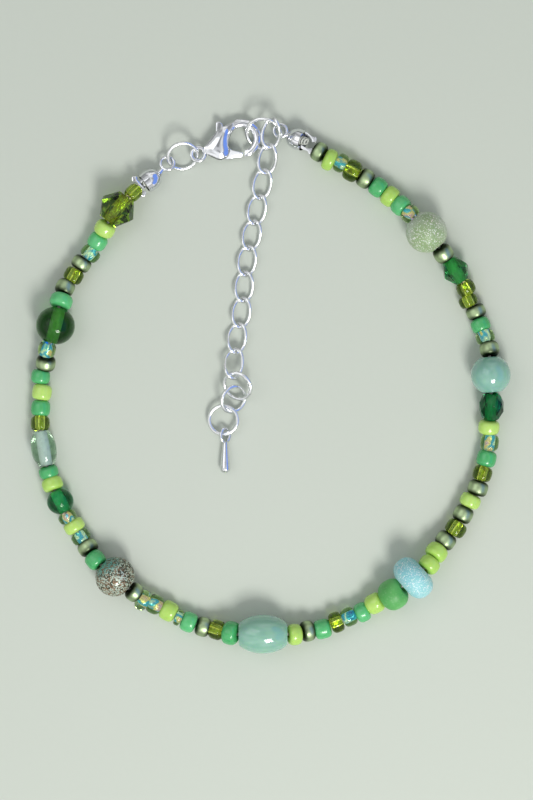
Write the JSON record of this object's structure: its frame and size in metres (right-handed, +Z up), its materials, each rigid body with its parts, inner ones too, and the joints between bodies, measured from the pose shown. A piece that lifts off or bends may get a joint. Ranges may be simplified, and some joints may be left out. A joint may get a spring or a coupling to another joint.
{
  "type": "beaded anklet",
  "caption": "Beaded anklet in green glass, closed in a loop by a lobster clasp, with an extender chain that ends in a small drop.",
  "frame": {"origin": "centre of the anklet's footprint, on the surface it lies on", "axes": "+Z up from the surface, +Y from the middle towards the clasp, +X to the right seen from above with the clasp at the top"},
  "size_m": [0.075, 0.0837, 0.007],
  "materials": {
    "seed_glass": "mixed glossy, metallic-lined and opaque seed glass",
    "olive_glass": "clear, cut facets",
    "green_glass": "clear, polished",
    "clear_glass": "clear with a faint mint tint",
    "dark_green_glass": "clear, polished",
    "glitter_glass": "matt with fine bronze and silver glitter",
    "turquoise_glass": "milky, polished",
    "matt_green_glass": "satin",
    "frosted_blue_glass": "frosted with fine sparkle",
    "green_facet_glass": "satin facets",
    "frosted_green_glass": "frosted with fine sparkle",
    "silver_plate": "bright silver plate"
  },
  "bodies": {
    "anklet": {"bead_bicone_olive": "olive_glass", "bead_round_green": "green_glass", "bead_oval_clear": "clear_glass", "bead_round_dark_green": "dark_green_glass", "bead_ball_glitter": "glitter_glass", "bead_barrel_turquoise": "turquoise_glass", "bead_rondelle_matt_green": "matt_green_glass", "bead_rondelle_frosted_blue": "frosted_blue_glass", "bead_faceted_dark_green": "dark_green_glass", "bead_round_turquoise": "turquoise_glass", "bead_bicone_green": "green_facet_glass", "bead_round_frosted": "frosted_green_glass", "seed_run_01": "seed_glass", "seed_run_02": "seed_glass", "seed_run_03": "seed_glass", "seed_run_04": "seed_glass", "seed_run_05": "seed_glass", "seed_run_06": "seed_glass", "seed_run_07": "seed_glass", "seed_run_08": "seed_glass", "seed_run_09": "seed_glass", "seed_run_10": "seed_glass", "seed_run_11": "seed_glass", "calotte_left": "silver_plate", "calotte_right": "silver_plate", "jump_ring_left": "silver_plate", "jump_ring_right": "silver_plate", "drop_ring_upper": "silver_plate", "drop_ring_middle": "silver_plate", "drop_ring_lower": "silver_plate", "clasp_body": "silver_plate", "chain_link_01": "silver_plate", "chain_link_02": "silver_plate", "chain_link_03": "silver_plate", "chain_link_04": "silver_plate", "chain_link_05": "silver_plate", "chain_link_06": "silver_plate", "chain_link_07": "silver_plate", "chain_link_08": "silver_plate", "chain_link_09": "silver_plate", "chain_link_10": "silver_plate", "drop": "silver_plate"},
    "lever": {"clasp_lever": "silver_plate"}
  },
  "joints": [
    {"name": "clasp_lever_pivot", "type": "hinge", "parent": "anklet", "child": "lever", "pos_m": [-0.0079, 0.0367, 0.0012], "axis": [0, 0, 1], "range_deg": [0, 24], "stiffness_Nm_per_rad": 0.006, "springref_deg": -20.05}
  ]
}
